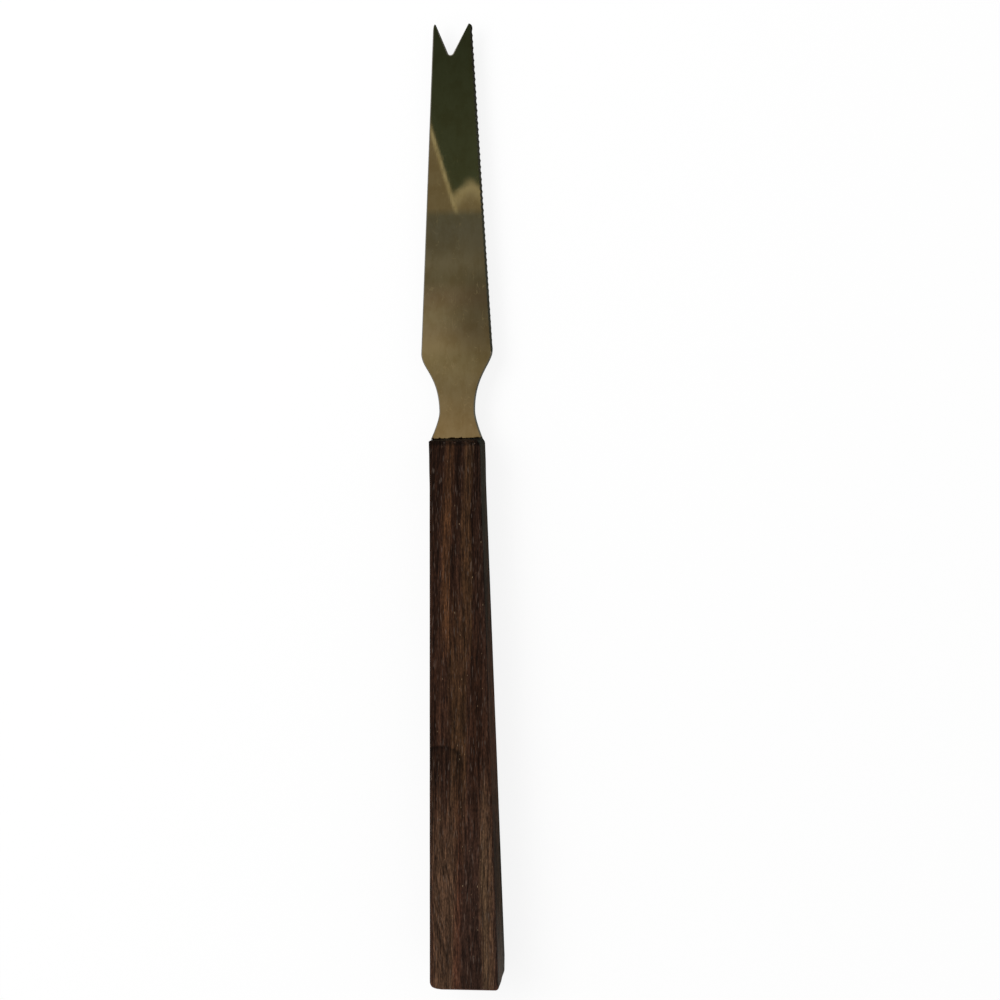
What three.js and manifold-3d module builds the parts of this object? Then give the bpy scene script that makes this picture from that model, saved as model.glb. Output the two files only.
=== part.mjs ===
// A bar knife: a forked stainless blade with a serrated edge, on a tapered square rosewood handle.
// The blade is one stamped piece whose flat tang sits in a bed of set adhesive inside the handle.
// Millimetres. The knife lies on the back face of its handle, with +Y towards the fork,
// +X towards the serrated edge and +Z up. The origin is on the ground under its middle.
import * as THREE from 'three';
import { mergeVertices } from 'three/addons/utils/BufferGeometryUtils.js';
import Module from 'manifold-3d';

const wasm = await Module();
wasm.setup();

// Handle: a square bar that grows from the blade end to the butt
const handleLength = 138.6;
const bladeEndWidth = 12.5;
const bladeEndThickness = 11.2;
const buttWidth = 17.6;
const buttThickness = 15.8;
const longEdgeRadius = 1.0;
const bladeEndRadius = 0.8;
const buttEdgeRadius = 0.8;
const buttSpineCornerRadius = 2.1; // the butt's spine-side corner is worn rounder than the other
const roundSteps = 4; // facets in each quarter round of the handle

// Blade: heights are measured from the handle's end face, widths from the handle's centre line
const bladeLength = 101.4;
const bladeThickness = 1.5;
const flareInset = 0.05; // the flare's foot ends this far inside the handle's sides
const flareTurn = 2.1; // the flare starts to turn out this far below the neck
const neckHeight = 6.8;
const neckSpine = 4.25;
const neckEdge = 4.5;
const waistReach = 9.4; // the waist runs straight on from the neck for about a third of this
const heelReach = 3.8; // and bends into the heel over about a third of this
const spineHeelHeight = 21.1;
const edgeHeelHeight = 21.7;
const heelSpine = 8.3;
const heelEdge = 9.3;
const tipSpine = 3.6;
const tipEdge = 5.7;
const flareSteps = 10;
const waistSteps = 20;

// Fork: two tines either side of a round-bottomed notch
const notchDepth = 7.45;
const notchOffset = 0.3; // the notch's middle lies this far to the edge side of the centre line
const notchRadius = 0.8;
const notchSteps = 6;
const spineTineTop = 0.45; // width of the tine's blunt top
const edgeTineTop = 0.75;
const spineTineLead = 2.0; // length over which the tine's outer side rolls in to its top
const edgeTineLead = 1.3;
const tineSteps = 5;

// Serrated edge: shallow scallops in a double ground bevel
const toothPitch = 1.5;
const toothDepth = 0.25;
const toothSteps = 4;
const heelPlain = 0.6; // unserrated length next to the heel
const bevelWidth = 0.9;
const edgeLand = 0.45; // thickness left at the edge

// Tang and its bed
const tangLength = 44;
const tangWidth = 5.5;
const tangEndChamfer = 1.2;
const tangHoleDiameter = 2.6;
const tangHoleCount = 2;
const holeSteps = 8; // facets in half a hole and in each round side of the slot
const bedThickness = 0.5;
const fitGap = 0.3; // between the tang, its bed and the mortise
const seatGap = 0.3; // between the flare's foot and the handle's end face
const cutMargin = 1; // how far a cutting shape runs past what it cuts
const weldDistance = 1e-5; // points nearer than this are one point

const steel = new THREE.MeshStandardMaterial({ color: '#bdb29b', roughness: 0.2, metalness: 1 });
const rosewood = new THREE.MeshStandardMaterial({ color: '#3b2a20', roughness: 0.5, metalness: 0 });
const adhesive = new THREE.MeshStandardMaterial({ color: '#6b5433', roughness: 0.6, metalness: 0 });

// A closed geometry becomes a solid that can be joined and cut, and back
function toSolid(geometry) {
  const bare = geometry.clone();
  bare.deleteAttribute('normal');
  bare.deleteAttribute('uv');
  const merged = mergeVertices(bare, weldDistance);
  const vertProperties = new Float32Array(merged.attributes.position.array);
  const triVerts = new Uint32Array(merged.index.array);
  return new wasm.Manifold(new wasm.Mesh({ numProp: 3, vertProperties, triVerts }));
}

function toGeometry(solid) {
  const mesh = solid.getMesh();
  const geometry = new THREE.BufferGeometry();
  geometry.setAttribute('position', new THREE.BufferAttribute(new Float32Array(mesh.vertProperties), 3));
  geometry.setIndex(new THREE.BufferAttribute(new Uint32Array(mesh.triVerts), 1));
  geometry.computeVertexNormals();
  return geometry;
}

// A flat outline in the blade's plane becomes a plate, centred on that plane
function plate(outline, thickness) {
  const options = { depth: thickness, bevelEnabled: false, curveSegments: holeSteps };
  return new THREE.ExtrudeGeometry(outline, options).translate(0, 0, -thickness / 2);
}

const at = (x, y) => new THREE.Vector2(x, y);

// The angle at which a line from a point touches a circle, on its left (-1) or right (+1) side
function touchAngle(from, centre, radius, side) {
  const towards = Math.atan2(from.y - centre.y, from.x - centre.x);
  const swing = Math.acos(radius / from.distanceTo(centre));
  return THREE.MathUtils.euclideanModulo(towards - side * swing, 2 * Math.PI);
}

// The blade is widest at its heels; side is -1 for the spine, +1 for the edge
function heelPoint(side) {
  return side < 0 ? at(-heelSpine, spineHeelHeight) : at(heelEdge, edgeHeelHeight);
}

// One side of the blade from the flare's foot up to the heel
function waistPoints(side) {
  const neckHalf = side < 0 ? neckSpine : neckEdge;
  const foot = at(side * (bladeEndWidth / 2 - flareInset), seatGap);
  const neck = at(side * neckHalf, neckHeight);
  const heel = heelPoint(side);
  const flare = new THREE.QuadraticBezierCurve(foot, at(neck.x, neckHeight - flareTurn), neck);
  const waist = new THREE.CubicBezierCurve(
    neck,
    at(neck.x, neckHeight + waistReach),
    at(heel.x, heel.y - heelReach),
    heel,
  );
  return [...flare.getPoints(flareSteps), ...waist.getPoints(waistSteps).slice(1)];
}

// The straight outer line of one side, from its heel to the level of the tips
function outerPoint(side, height) {
  const heel = heelPoint(side);
  const tip = side < 0 ? -tipSpine : tipEdge;
  return at(THREE.MathUtils.mapLinear(height, heel.y, bladeLength, heel.x, tip), height);
}

// One tine's rounded top, from its outer side to its inner corner
function tinePoints(side, lead, top) {
  const start = outerPoint(side, bladeLength - lead);
  const corner = outerPoint(side, bladeLength);
  const inner = at(corner.x - side * top, bladeLength);
  return new THREE.QuadraticBezierCurve(start, corner, inner).getPoints(tineSteps);
}

// The notch between the tines, from the spine tine's inner corner to the edge tine's
function notchPoints(fromCorner, toCorner) {
  const centre = at(notchOffset, bladeLength - notchDepth + notchRadius);
  const firstAngle = touchAngle(fromCorner, centre, notchRadius, -1);
  const lastAngle = touchAngle(toCorner, centre, notchRadius, 1);
  const points = [];
  for (let i = 0; i <= notchSteps; i += 1) {
    const angle = THREE.MathUtils.lerp(firstAngle, lastAngle, i / notchSteps);
    points.push(at(centre.x + notchRadius * Math.cos(angle), centre.y + notchRadius * Math.sin(angle)));
  }
  return points;
}

// Scallops down the edge, from the edge tine to just above the heel
function toothPoints() {
  const top = outerPoint(1, bladeLength - edgeTineLead);
  const bottom = outerPoint(1, edgeHeelHeight + heelPlain);
  const count = Math.max(1, Math.floor(top.distanceTo(bottom) / toothPitch));
  const along = bottom.clone().sub(top).divideScalar(count);
  const inward = at(along.y, -along.x).normalize();
  const points = [];
  for (let i = 0; i < count; i += 1) {
    const from = top.clone().addScaledVector(along, i);
    const to = top.clone().addScaledVector(along, i + 1);
    const pull = from.clone().lerp(to, 0.5).addScaledVector(inward, 2 * toothDepth); // it reaches half way
    const scallop = new THREE.QuadraticBezierCurve(from, pull, to);
    points.push(...scallop.getPoints(toothSteps).slice(1));
  }
  return points;
}

// The tang's outline below the flare's foot, grown by a clearance
function tangPoints(clearance, top) {
  const half = tangWidth / 2 + clearance;
  const end = -tangLength - clearance;
  return [
    at(half, top),
    at(half, end + tangEndChamfer),
    at(half - tangEndChamfer, end),
    at(-half + tangEndChamfer, end),
    at(-half, end + tangEndChamfer),
    at(-half, top),
  ];
}

// Holes through the tang, evenly spaced along it, that the adhesive keys into
function addTangHoles(outline, clearance) {
  for (let i = 1; i <= tangHoleCount; i += 1) {
    const height = (-tangLength * i) / (tangHoleCount + 1);
    outline.holes.push(new THREE.Path().absarc(0, height, tangHoleDiameter / 2 - clearance, 0, 2 * Math.PI));
  }
}

// What the grinding takes off one face along the edge; face is +1 for the front, -1 for the back
function bevelCut(face) {
  const top = outerPoint(1, bladeLength);
  const bottom = heelPoint(1);
  const along = bottom.clone().sub(top).normalize();
  const grindDepth = (bladeThickness - edgeLand) / 2;
  const slope = grindDepth / bevelWidth;
  const level = bladeThickness / 2;
  const wedge = new THREE.Shape([
    at(-bevelWidth, face * level),
    at(cutMargin, face * (level - slope * (bevelWidth + cutMargin))),
    at(cutMargin, face * (level + cutMargin)),
    at(-bevelWidth, face * (level + cutMargin)),
  ]);
  const run = top.distanceTo(bottom) + cutMargin;
  const cut = new THREE.ExtrudeGeometry(wedge, { depth: run, bevelEnabled: false });
  const outward = new THREE.Vector3(-along.y, along.x, 0);
  const upward = new THREE.Vector3(0, 0, 1);
  const downEdge = new THREE.Vector3(along.x, along.y, 0);
  const place = new THREE.Matrix4().makeBasis(outward, upward, downEdge);
  place.setPosition(top.x - along.x * cutMargin, top.y - along.y * cutMargin, 0);
  return cut.applyMatrix4(place);
}

function bladeGeometry() {
  const spineTine = tinePoints(-1, spineTineLead, spineTineTop);
  const edgeTine = tinePoints(1, edgeTineLead, edgeTineTop).reverse();
  const outline = new THREE.Shape([
    ...waistPoints(-1),
    ...spineTine,
    ...notchPoints(spineTine.at(-1), edgeTine[0]),
    ...edgeTine,
    ...toothPoints(),
    ...waistPoints(1).reverse(),
    ...tangPoints(0, seatGap),
  ]);
  addTangHoles(outline, 0);
  const blank = toSolid(plate(outline, bladeThickness));
  const ground = blank.subtract(toSolid(bevelCut(1))).subtract(toSolid(bevelCut(-1)));
  return toGeometry(ground);
}

// The slot in the handle's end: a flat hole with round sides, grown or shrunk by a clearance
function slotGeometry(clearance, top) {
  const bed = bedThickness + 2 * fitGap + clearance;
  const radius = bladeThickness / 2 + bed;
  const straight = tangWidth / 2 + bed - radius;
  const bottom = -tangLength - bed;
  const section = new THREE.Shape();
  section.absarc(straight, 0, radius, -Math.PI / 2, Math.PI / 2);
  section.absarc(-straight, 0, radius, Math.PI / 2, (3 * Math.PI) / 2);
  const options = { depth: top - bottom, bevelEnabled: false, curveSegments: holeSteps / 2 };
  return new THREE.ExtrudeGeometry(section, options).rotateX(Math.PI / 2).translate(0, top, 0);
}

// How far a quarter round has drawn in from its side, at a distance from the end it runs out to
const roundInset = (radius, distance) =>
  distance < radius ? radius - Math.sqrt(radius ** 2 - (radius - distance) ** 2) : 0;

// The bar's section at a distance along the handle from the butt
function handleStation(fromButt) {
  const fromBladeEnd = handleLength - fromButt;
  const share = fromButt / handleLength;
  const endInset = roundInset(bladeEndRadius, fromBladeEnd);
  const edgeInset = endInset + roundInset(buttEdgeRadius, fromButt);
  const spineInset = endInset + roundInset(buttSpineCornerRadius, fromButt);
  const halfWidth = THREE.MathUtils.lerp(buttWidth, bladeEndWidth, share) / 2;
  const halfThickness = THREE.MathUtils.lerp(buttThickness, bladeEndThickness, share) / 2;
  return {
    height: -fromBladeEnd,
    spine: halfWidth - spineInset,
    edge: halfWidth - edgeInset,
    face: halfThickness - edgeInset,
  };
}

// Distances along a quarter round, from the end that it runs out to
function roundStops(radius) {
  const stops = [];
  for (let i = 0; i <= roundSteps; i += 1) {
    stops.push(radius * (1 - Math.cos((i / roundSteps) * (Math.PI / 2))));
  }
  return stops;
}

// Corner rounds about a unit section, whose points are then set out at each station
function handleGeometry() {
  const buttStops = [...roundStops(buttEdgeRadius), ...roundStops(buttSpineCornerRadius)];
  const endStops = roundStops(bladeEndRadius).map((stop) => handleLength - stop);
  const stops = [...new Set([...buttStops, ...endStops])].sort((a, b) => a - b);
  const stations = stops.map(handleStation);
  const section = new THREE.Shape();
  for (const [x, z, start] of [[1, 1, 0], [-1, 1, 1], [-1, -1, 2], [1, -1, 3]]) {
    const startAngle = (start * Math.PI) / 2;
    const centre = at(x, z).multiplyScalar(longEdgeRadius);
    section.absarc(centre.x, centre.y, longEdgeRadius, startAngle, startAngle + Math.PI / 2);
  }
  const last = stations.length - 1;
  const options = { depth: last, steps: last, bevelEnabled: false, curveSegments: roundSteps / 2 };
  const bar = new THREE.ExtrudeGeometry(section, options);
  const points = bar.attributes.position;
  const reach = 2 * longEdgeRadius; // the section's own half size
  for (let i = 0; i < points.count; i += 1) {
    const station = stations[Math.round(points.getZ(i))];
    const across = points.getX(i);
    const up = points.getY(i);
    const side = across < 0 ? station.spine : station.edge;
    const x = Math.sign(across) * (side - reach + Math.abs(across));
    const z = Math.sign(up) * (station.face - reach + Math.abs(up));
    points.setXYZ(i, x, station.height, -z);
  }
  const mortise = slotGeometry(0, cutMargin);
  return toGeometry(toSolid(bar).subtract(toSolid(mortise)));
}

function adhesiveGeometry() {
  const bed = toSolid(slotGeometry(-fitGap, 0));
  const hollow = new THREE.Shape(tangPoints(fitGap, cutMargin));
  addTangHoles(hollow, fitGap);
  const cut = toSolid(plate(hollow, bladeThickness + 2 * fitGap));
  return toGeometry(bed.subtract(cut));
}

function named(name, geometry, material) {
  const mesh = new THREE.Mesh(geometry, material);
  mesh.name = name;
  return mesh;
}

// The handle's taper tips the knife until its back face lies flat on the ground
const knife = new THREE.Group();
knife.add(
  named('blade', bladeGeometry(), steel),
  named('handle', handleGeometry(), rosewood),
  named('tang_adhesive', adhesiveGeometry(), adhesive),
);
knife.rotation.x = -Math.atan((buttThickness - bladeEndThickness) / 2 / handleLength);

const part = new THREE.Group();
part.add(knife);
const box = new THREE.Box3().setFromObject(part, true);
knife.position.set(-(box.min.x + box.max.x) / 2, -(box.min.y + box.max.y) / 2, -box.min.z);
part.updateMatrixWorld(true);

export default part;
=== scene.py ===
import math
from functools import partial
import bmesh
import bpy
from mathutils import Matrix, Vector, noise


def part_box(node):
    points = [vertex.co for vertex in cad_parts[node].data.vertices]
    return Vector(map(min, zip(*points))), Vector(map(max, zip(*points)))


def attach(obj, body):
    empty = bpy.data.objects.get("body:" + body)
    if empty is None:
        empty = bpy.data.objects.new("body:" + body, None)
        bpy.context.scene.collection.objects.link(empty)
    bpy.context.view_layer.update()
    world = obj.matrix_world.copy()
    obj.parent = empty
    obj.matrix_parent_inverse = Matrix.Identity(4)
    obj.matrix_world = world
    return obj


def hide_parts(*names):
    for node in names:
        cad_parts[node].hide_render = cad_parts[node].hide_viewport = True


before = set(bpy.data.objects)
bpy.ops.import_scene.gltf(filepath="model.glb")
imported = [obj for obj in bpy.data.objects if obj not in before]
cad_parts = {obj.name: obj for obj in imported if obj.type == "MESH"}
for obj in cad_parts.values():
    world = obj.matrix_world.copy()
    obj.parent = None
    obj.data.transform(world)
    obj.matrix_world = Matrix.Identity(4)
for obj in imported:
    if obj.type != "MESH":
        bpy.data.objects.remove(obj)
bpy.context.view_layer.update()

mm = 0.001  # pieces are drawn in millimetres and placed in metres


# One hex colour as the linear colour that sockets take
def linear(hexColour):
    parts = [int(hexColour[i:i + 2], 16) / 255 for i in (1, 3, 5)]
    return [c / 12.92 if c <= 0.04045 else ((c + 0.055) / 1.055) ** 2.4 for c in parts] + [1.0]


# Adds a node with its settings; an input is a value, a socket, or a node whose first output is used
def addNode(tree, kind, inputs=None, stops=None, **settings):
    node = tree.nodes.new(kind)
    for name, value in settings.items():
        setattr(node, name, value)
    for key, value in (inputs or {}).items():
        socket = node.inputs[key]
        if isinstance(value, bpy.types.Node):
            value = value.outputs[0]
        if isinstance(value, bpy.types.NodeSocket):
            tree.links.new(value, socket)
        else:
            socket.default_value = value
    if stops:
        elements = node.color_ramp.elements
        while len(elements) < len(stops):
            elements.new(1.0)
        for element, (position, colour) in zip(elements, stops):
            element.position = position
            element.color = linear(colour)
    return node


# A material without nodes, and addNode for it
def newMaterial(name):
    material = bpy.data.materials.new(name)
    material.use_nodes = True
    material.node_tree.nodes.clear()
    return material, partial(addNode, material.node_tree)


# A node tree whose inputs are named sizes, addNode for it, and the sockets that give those sizes
def newTree(name, sizes):
    kinds = {float: "NodeSocketFloat", int: "NodeSocketInt", Vector: "NodeSocketVector"}
    tree = bpy.data.node_groups.new(name, "GeometryNodeTree")
    tree.interface.new_socket("Geometry", in_out="INPUT", socket_type="NodeSocketGeometry")
    for label, value in sizes.items():
        kind = kinds.get(type(value), "NodeSocketMaterial")
        tree.interface.new_socket(label, in_out="INPUT", socket_type=kind)
    tree.interface.new_socket("Geometry", in_out="OUTPUT", socket_type="NodeSocketGeometry")
    return tree, partial(addNode, tree), tree.nodes.new("NodeGroupInput").outputs


# Runs a node tree on a mesh and gives the result as a plain mesh
def runTree(mesh, tree, sizes):
    holder = bpy.data.objects.new("holder", mesh)
    bpy.context.scene.collection.objects.link(holder)
    modifier = holder.modifiers.new(tree.name, "NODES")
    modifier.node_group = tree
    for item in tree.interface.items_tree:
        if item.in_out == "INPUT" and item.name in sizes:
            modifier[item.identifier] = sizes[item.name]
    graph = bpy.context.evaluated_depsgraph_get()
    result = bpy.data.meshes.new_from_object(holder.evaluated_get(graph))
    holder.modifiers.remove(modifier)
    bpy.data.objects.remove(holder)
    return result


# Turns a finished mesh, drawn in millimetres along the knife, into a placed piece of the object
def placePiece(name, mesh, material, node, sharpAngle):
    mesh.materials.clear()
    mesh.materials.append(material)
    mesh.set_sharp_from_angle(angle=math.radians(sharpAngle))
    # front and back faces stay flat, as a reflection shows any bend in them
    mesh.polygons.foreach_set("use_smooth", [abs(face.normal.z) < 0.9999 for face in mesh.polygons])
    mesh.transform(knifePlace)
    piece = bpy.data.objects.new(name, mesh)
    bpy.context.scene.collection.objects.link(piece)
    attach(piece, "root")
    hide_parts(node)
    print(name, len(mesh.polygons), "faces")
    return piece


handleSizes = {
    "length": 138.6,
    "bladeEnd": (12.5, 11.2),  # width and thickness
    "butt": (17.6, 15.8),
    "grid": (41, 241, 41),  # points across, along and through the handle
    "edgeRadius": (1.0, 0.8, 1.0),  # across, along and through the handle
    "bladeEndRadius": ((0.15, 0.14, 0.5), (1.2, 2.2, 0.9)),  # spine side and edge side
    "buttBackRadius": (1.2, 1.8, 3.6),  # the butt's back edge is worn rounder
    "buttCorner": 2.1,  # and so is its spine-side corner
    "endFade": (4.0, 5.0),  # lengths over which the radii of the blade end and of the butt fade
    "endSwell": (0.13, 5.0, 13.0),  # the blade end is sanded less: extra on each side, and where it fades
    "endSkew": 0.24,  # the blade end is sawn a little askew, short on the spine side
    "sanding": (0.05, 0.11),  # depth of the hand-sanded unevenness, and its cycles in a millimetre
    "mortise": (7.1, 3.1, 45.2),  # width, thickness and depth
}

bladeSizes = {
    "length": 101.4,
    "thickness": 1.5,
    "seat": 0.04,  # gap between the flare's foot and the handle
    "foot": (-6.56, 6.35),  # spine side and edge side
    "flareTurn": 2.1,  # how far below the neck the flare turns out
    "neck": ((-4.25, 6.8), (4.58, 6.8)),  # spine side and edge side
    "heel": ((-8.49, 21.1), (9.3, 22.2)),
    "tip": (-3.78, 5.7),
    "reach": (8.9, 3.8),  # pull of the waist's curve at the neck and at the heel
    "tineTop": (0.45, 0.75),
    "tineLead": (2.0, 1.3),
    "notch": (0.3, 7.45, 0.8),  # middle, depth and bottom radius
    "curveSteps": (16, 40, 8, 16),  # in the flare, the waist, a tine and the notch
    "ease": (0.24, 0.05),  # rounding of the stamped outline, and of the slim tines
    "easeSteps": 4,
    "bevel": 0.46,  # width of the ground edge
    "bevelEnd": 1.4,  # length over which it runs out at the heel
    "land": 0.3,  # thickness left at the ground edge
    "tang": (44.0, 5.5, 1.2),  # length, width and end chamfer
    "tangHoles": (2.6, 2),  # diameter and count
    "toothPitch": 1.5,
    "toothDepth": (0.18, 0.06),  # near the tip, and where it is worn at the heel
    "toothSteps": 12,
    "fluteShare": 0.94,  # of a tooth's length, the rest is its point
    "toothLeast": 0.85,  # the shallowest tooth, as a share of the deepest
    "toothSeed": 7,
    "heelPlain": 0.6,  # unserrated length next to the heel
}

# The knife lies on its handle's back face, so its long axis tips down towards the blade
taper = handleSizes["butt"][1] - handleSizes["bladeEnd"][1]
tip = math.atan(taper / 2 / handleSizes["length"])
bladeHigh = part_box("blade")[1]
knifeOrigin = Vector((
    bladeHigh.x - (bladeSizes["heel"][1][0] + 0.002) * mm,
    bladeHigh.y - (bladeSizes["length"] * math.cos(tip) + bladeSizes["thickness"] / 2 * math.sin(tip)) * mm,
    handleSizes["bladeEnd"][1] / 2 * math.cos(tip) * mm,
))
knifeTurn = Matrix.Rotation(-tip, 4, "X")
knifePlace = Matrix.Translation(knifeOrigin) @ knifeTurn @ Matrix.Scale(mm, 4)


# Rosewood, hand sanded and oiled: dark heartwood in umber and amber layers, streaked, with open pores
rosewoodLook = {
    "heart": "#26150c",
    "plum": "#301f17",
    "umber": "#301d13",
    "tawny": "#3a2616",
    "russet": "#3e2519",
    "amber": "#432a18",
    "honey": "#443022",
    "straw": "#4d3a29",
    "rust": "#4b2c1c",
    "bare": "#5c382e",
    "pore": "#180d08",
    "glint": "#6a5c52",
    "fleck": "#a08868",
    "layerTilt": 0.6,  # growth layers drift this far across for each millimetre of depth
    "span": 28.0,  # millimetres of growth layers in a ramp
    "lean": (-1.2, 18.0),  # layers stand this far over at the blade end, and straighten within this length
    # stretches along the handle: where each takes over from the one before, and where its layers sit,
    # in millimetres from the spine-side front edge
    "stretches": [
        (None, [
            (0.0, "heart"), (1.8, "heart"), (2.6, "umber"), (3.6, "amber"), (4.8, "amber"), (5.5, "heart"),
            (7.0, "heart"), (7.6, "umber"), (8.8, "tawny"), (10.4, "tawny"), (10.8, "heart"), (14.5, "plum"),
            (16.0, "umber"), (18.5, "russet"), (21.0, "plum"), (24.0, "umber"), (28.0, "russet"),
        ]),
        ((42.0, 58.0), [
            (0.0, "heart"), (1.4, "heart"), (2.4, "umber"), (4.6, "umber"), (5.6, "tawny"), (8.6, "tawny"),
            (9.6, "umber"), (10.6, "heart"), (12.2, "heart"), (12.9, "heart"), (14.4, "umber"),
            (15.2, "umber"), (16.4, "rust"), (23.0, "rust"), (25.0, "umber"), (28.0, "russet"),
        ]),
        ((81.0, 106.0), [
            (0.0, "russet"), (1.6, "honey"), (5.6, "honey"), (7.2, "russet"), (8.6, "plum"), (11.0, "plum"),
            (12.7, "plum"), (13.3, "honey"), (14.0, "straw"), (15.6, "honey"), (16.4, "plum"),
            (19.5, "russet"), (22.0, "honey"), (24.5, "plum"), (28.0, "umber"),
        ]),
    ],
    # noises: cycles in a millimetre across and along the grain, detail, gains and the noise that they span
    "wander": (0.15, 0.025, 1.0, (-0.25, 0.25)),  # of the grain as it runs, in millimetres
    "drift": (0.16, 0.016, 1.0, (-0.4, 0.4)),  # of the growth layers
    "rag": (1.5, 0.04, 3.0, (-0.4, 0.4)),  # of their borders
    "crossing": (1.3, 0.03, 3.0, (0.55, 1.24), (0.4, 0.58)),
    # streaks from a millimetre wide down to single fibres, drawn up to 0.2 mm so that they show
    "streaks": (0.9, 0.018, 2.0, (0.78, 1.22), (0.36, 0.64)),
    "fibres": (2.0, 0.08, 2.0, (0.6, 1.45), (0.37, 0.63)),
    "threads": (3.8, 0.23, 2.0, (0.6, 1.47), (0.37, 0.63)),
    "grit": (4.0, 1.1, 1.0, (0.74, 1.28), (0.35, 0.65)),
    "pores": (4.0, 0.3, 1.0, (0.0, 0.8), (0.62, 0.72)),
    "glints": (3.4, 0.35, 1.0, (0.0, 0.32), (0.62, 0.72)),
    "dust": (3.2, 0.9, 0.0, (0.0, 0.5), (0.83, 0.88)),
    "changeRag": 25.0,  # how raggedly one stretch takes over from another
    "slantAlong": (98.0, 128.0, 8.0),  # the grain crosses in this stretch, and the length of its fade
    "slantAcross": (6.0, 9.0),  # up to these layers
    "slope": 0.26,
    "arc": (3.2, 80.6, 5.2, 4.5),  # a healed branch: its middle and its reach, each across and along
    "arcBorder": (0.92, 1.06),  # shares of its reach
    "arcRing": (0.68, 0.94, 1.5),  # it is darker between these shares, by this gain
    "arcFade": (76.0, 92.0, 0.45),  # where its shade is full and gone, and how deep it is
    "shadedEnd": (12.0, 34.0, 0.79),  # painted shade darkens the blade end up to here
    "rim": (0.9, 1.5, 0.45),  # and painted shade darkens its rim more
    "worn": (136.6, 137.8, 0.8),  # the butt's eased rim is worn to bare reddish wood
    "roughness": (0.58, 0.44),  # in the valleys and on the fibres
    "relief": 0.04,  # millimetres
}


# Noise drawn out along the grain, as a gain; the scales are cycles in a millimetre across and along
def grainGain(add, coords, across, along, detail, gains, window=(0.3, 0.7)):
    drawn = add("ShaderNodeVectorMath", {0: coords, 1: (across, along, across)}, operation="MULTIPLY")
    cloud = add("ShaderNodeTexNoise", {"Vector": drawn, "Scale": 1.0, "Detail": detail, "Roughness": 0.6})
    return add("ShaderNodeMapRange", {0: cloud, 1: window[0], 2: window[1], 3: gains[0], 4: gains[1]})


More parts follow.
